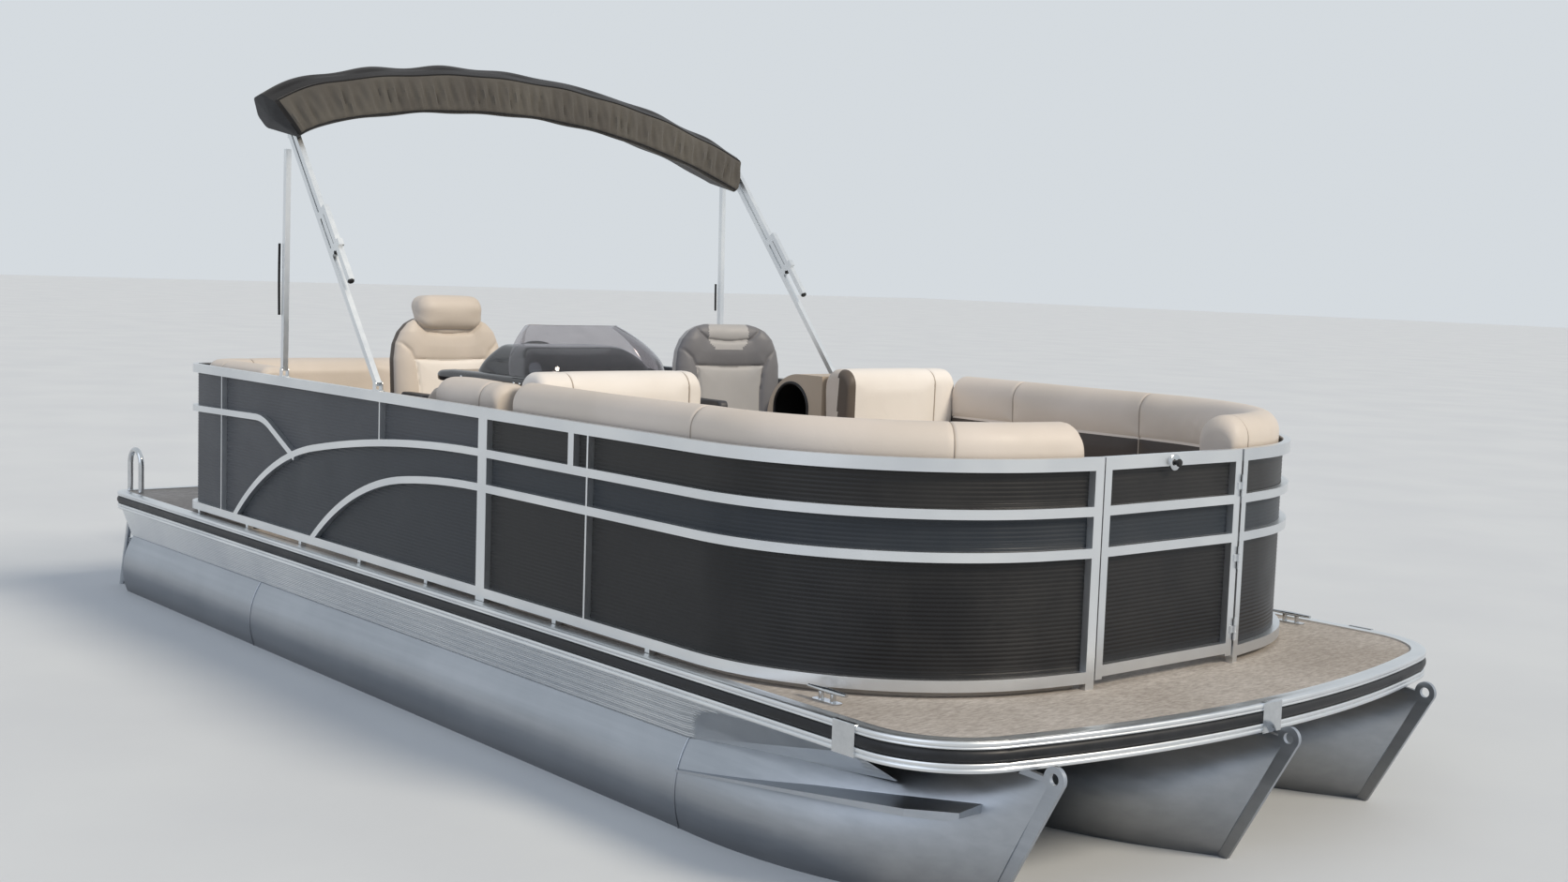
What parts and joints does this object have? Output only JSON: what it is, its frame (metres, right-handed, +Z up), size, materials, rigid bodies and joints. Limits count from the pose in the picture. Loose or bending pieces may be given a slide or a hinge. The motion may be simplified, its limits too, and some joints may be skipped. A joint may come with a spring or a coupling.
{
  "type": "pontoon boat",
  "caption": "Tritoon pontoon boat with welded aluminium tubes, railed and panelled deck, bow and stern lounges, helm console, folded bimini top, boarding ladder and outboard motor.",
  "frame": {"origin": "amidships on the centreline at the waterline", "axes": "+X to the bow, +Y to port, +Z up"},
  "size_m": [6.9079, 2.6585, 3.223],
  "materials": {
    "pontoon_aluminium": "mill finish, welded",
    "rail_aluminium": "satin anodised",
    "skin_paint": "ribbed, baked enamel",
    "deck_covering": "woven vinyl",
    "black_rubber": "extruded",
    "beige_vinyl": "marine vinyl, sewn",
    "grey_vinyl": "marine vinyl, sewn",
    "dark_plastic": "rotomoulded",
    "console_shell": "padded vinyl over a moulded shell",
    "gloss_dash": "polished",
    "smoked_screen": "smoked acrylic",
    "boot_fabric": "acrylic canvas",
    "polished_steel": "polished",
    "pedestal_steel": "satin",
    "motor_paint": "gloss enamel",
    "wheel_grip": "grained"
  },
  "bodies": {
    "hull": {"aft_lounge_back": "beige_vinyl", "aft_lounge_base": "dark_plastic", "aft_lounge_cushion": "beige_vinyl", "bow_couch_back_port": "beige_vinyl", "bow_couch_back_starboard": "beige_vinyl", "bow_couch_base_port": "dark_plastic", "bow_couch_base_starboard": "dark_plastic", "bow_couch_cushion_port": "beige_vinyl", "bow_couch_cushion_starboard": "beige_vinyl", "bow_eyes": "pontoon_aluminium", "captain_chair_pedestal": "pedestal_steel", "chaise_back_port": "beige_vinyl", "chaise_back_starboard": "beige_vinyl", "clamp_bracket": "motor_paint", "cleats": "polished_steel", "companion_chair_pedestal": "pedestal_steel", "cross_members": "pontoon_aluminium", "dash_pod": "gloss_dash", "deck_floor": "deck_covering", "deck_trim": "rail_aluminium", "fence_frame_port": "rail_aluminium", "fence_frame_starboard": "rail_aluminium", "fence_skin_port": "skin_paint", "fence_skin_starboard": "skin_paint", "grab_handles": "polished_steel", "helm_console": "console_shell", "helm_controls": "polished_steel", "motor_pod": "pontoon_aluminium", "nose_cones": "pontoon_aluminium", "nose_strakes": "pontoon_aluminium", "pontoon_tubes": "pontoon_aluminium", "rub_rail": "black_rubber", "side_skirts": "pontoon_aluminium", "storage_pod": "console_shell", "top_mounts": "polished_steel", "tube_risers": "pontoon_aluminium", "windshield": "smoked_screen"},
    "bow_gate": {"bow_gate_frame": "rail_aluminium", "bow_gate_skin": "skin_paint"},
    "stern_gate": {"stern_gate_frame": "rail_aluminium", "stern_gate_skin": "skin_paint"},
    "folding_top": {"top_frame": "rail_aluminium", "top_boot": "boot_fabric"},
    "strut_starboard": {"top_strut_starboard": "rail_aluminium"},
    "strut_port": {"top_strut_port": "rail_aluminium"},
    "boarding_ladder": {"ladder": "polished_steel"},
    "tilt_bracket": {"swivel_bracket": "motor_paint"},
    "motor": {"motor_cowl": "motor_paint", "motor_leg": "motor_paint"},
    "prop": {"propeller": "polished_steel"},
    "wheel": {"steering_wheel": "wheel_grip"},
    "captain_seat": {"captain_chair_seat": "beige_vinyl", "captain_chair_back": "beige_vinyl", "captain_chair_arms": "beige_vinyl"},
    "companion_seat": {"companion_chair_seat": "grey_vinyl", "companion_chair_back": "grey_vinyl", "companion_chair_arms": "grey_vinyl"}
  },
  "joints": [
    {"name": "bow_gate_hinge", "type": "hinge", "parent": "hull", "child": "bow_gate", "pos_m": [2.664, 0.351, 0.9], "axis": [0, 0, 1], "range_deg": [0, 100]},
    {"name": "stern_gate_hinge", "type": "hinge", "parent": "hull", "child": "stern_gate", "pos_m": [-2.28, 1.036, 0.9], "axis": [0, 0, -1], "range_deg": [0, 100]},
    {"name": "top_fold", "type": "hinge", "parent": "hull", "child": "folding_top", "pos_m": [-0.335, 0, 1.268], "axis": [0, 1, 0], "range_deg": [0, 75]},
    {"name": "strut_starboard_fold", "type": "hinge", "parent": "hull", "child": "strut_starboard", "pos_m": [-1.2, -1.226, 1.268], "axis": [0, -1, 0], "range_deg": [0, 80]},
    {"name": "strut_port_fold", "type": "hinge", "parent": "hull", "child": "strut_port", "pos_m": [-1.25, 1.226, 1.268], "axis": [0, -1, 0], "range_deg": [0, 80]},
    {"name": "ladder_fold", "type": "hinge", "parent": "hull", "child": "boarding_ladder", "pos_m": [-3.128, -1.015, 0.49], "axis": [0, 1, 0], "range_deg": [0, 163]},
    {"name": "motor_tilt", "type": "hinge", "parent": "hull", "child": "tilt_bracket", "pos_m": [-3.3, 0, 0.56], "axis": [0, 1, 0], "range_deg": [0, 60]},
    {"name": "motor_steer", "type": "hinge", "parent": "tilt_bracket", "child": "motor", "pos_m": [-3.36, 0, 0.45], "axis": [0, 0, 1], "range_deg": [-30, 30]},
    {"name": "prop_spin", "type": "hinge", "parent": "motor", "child": "prop", "pos_m": [-3.665, 0, -0.37], "axis": [1, 0, 0], "continuous": true},
    {"name": "wheel_turn", "type": "hinge", "parent": "hull", "child": "wheel", "pos_m": [-0.38, -0.52, 1.295], "axis": [-0.8192, 0, 0.5736], "range_deg": [-540, 540]},
    {"name": "captain_swivel", "type": "hinge", "parent": "hull", "child": "captain_seat", "pos_m": [-0.96, -0.4, 0.85], "axis": [0, 0, 1], "continuous": true},
    {"name": "companion_swivel", "type": "hinge", "parent": "hull", "child": "companion_seat", "pos_m": [-0.36, 0.742, 0.85], "axis": [0, 0, 1], "continuous": true}
  ],
  "couplings": [
    {"joint": "wheel_turn", "follows": "motor_steer", "ratio": -18}
  ]
}
